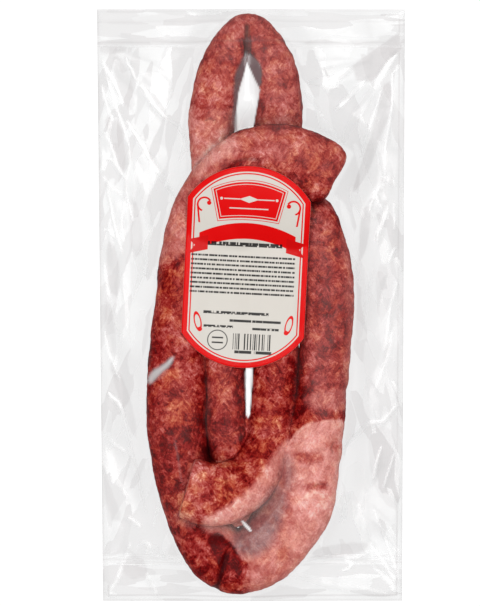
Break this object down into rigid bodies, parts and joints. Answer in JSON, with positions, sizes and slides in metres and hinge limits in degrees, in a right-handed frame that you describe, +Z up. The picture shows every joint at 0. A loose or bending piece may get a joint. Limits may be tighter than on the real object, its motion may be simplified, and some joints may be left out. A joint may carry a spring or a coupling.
{
  "type": "vacuum pack of folded sausage ropes",
  "caption": "Clear flat pouch drawn tight round folded ropes of coarse smoked sausage that cross over each other, with a domed paper label on its front.",
  "frame": {"origin": "middle of the pouch in plan, on the surface that it lies on", "axes": "+Y along the pouch towards its top seal, +Z up out of the front that carries the label, +X to the right when the front is seen with the top seal up"},
  "size_m": [0.2, 0.384, 0.0464],
  "materials": {
    "filled_pouch": "clear glossy film drawn tight over red-brown sausage",
    "film": "clear glossy creased film",
    "sausage": "coarse red-brown meat with pale specks of fat under a thin moist natural casing",
    "label_paper": "smooth printed paper with a red border"
  },
  "bodies": {
    "root": {"bag": "filled_pouch", "label": "label_paper"}
  },
  "joints": []
}
